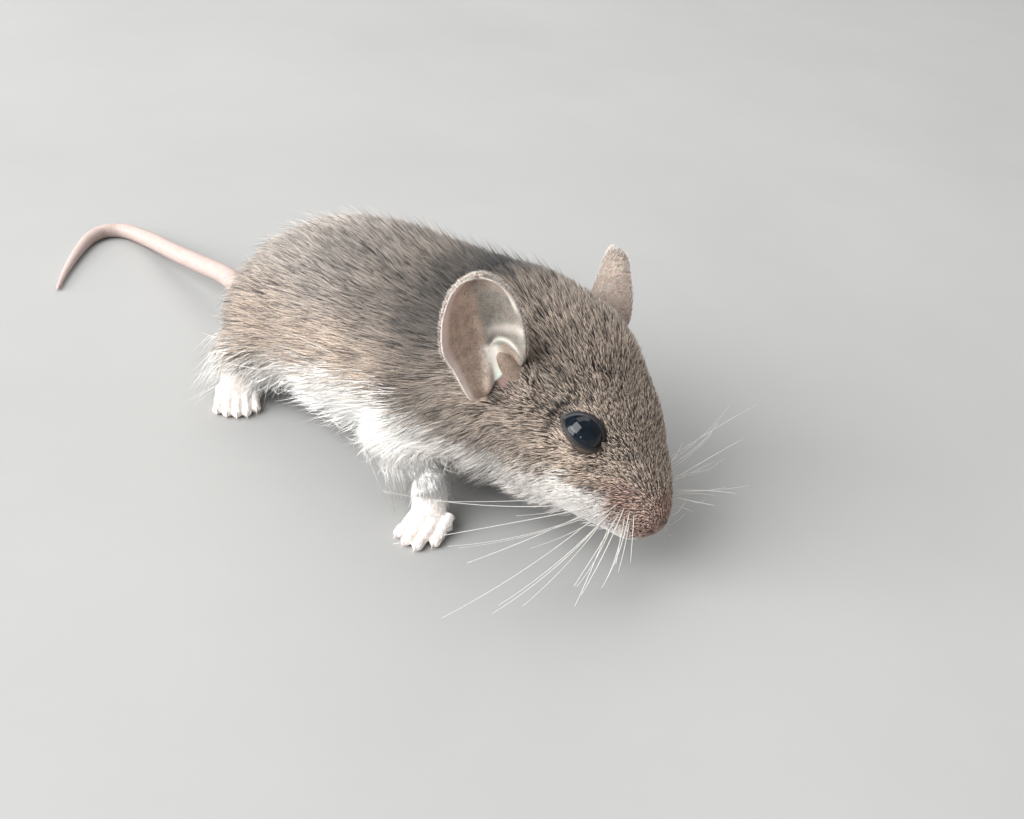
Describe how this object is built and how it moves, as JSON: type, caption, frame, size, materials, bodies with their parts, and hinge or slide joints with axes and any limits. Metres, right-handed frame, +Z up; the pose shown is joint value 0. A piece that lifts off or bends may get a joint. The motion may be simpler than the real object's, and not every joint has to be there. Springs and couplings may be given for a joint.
{
  "type": "young grey mouse model",
  "caption": "Life-size model of a young grey mouse, crouching with its head turned down, rounded ears up and its thin tail bent round on the ground behind it.",
  "frame": {"origin": "on the ground, under the middle of the model's bounding box", "axes": "+Z up, -Y the way the mouse faces, +X the mouse's left side, +Y towards the tail"},
  "size_m": [0.0292, 0.0902, 0.0288],
  "materials": {
    "coat": "grizzled grey-brown fur, matt",
    "white_coat": "white fur, matt",
    "bare_skin": "pale pink skin with a slight sheen",
    "ear_skin": "thin grey-brown skin, matt",
    "tail_skin": "pale pink ringed skin, satin",
    "eye": "wet gloss black"
  },
  "bodies": {
    "root": {"head": "coat", "muzzle": "coat", "jaw": "white_coat", "neck": "coat", "chest": "coat", "loin": "coat", "rump": "coat", "thigh_left": "coat", "thigh_right": "coat", "foreleg_left": "white_coat", "foreleg_right": "white_coat", "forefoot_left": "bare_skin", "forefoot_right": "bare_skin", "hindfoot_left": "bare_skin", "hindfoot_right": "bare_skin", "ear_left": "ear_skin", "ear_right": "ear_skin", "eye_left": "eye", "eye_right": "eye", "tail_base": "tail_skin", "tail_middle": "tail_skin", "tail_tip": "tail_skin"}
  },
  "joints": []
}
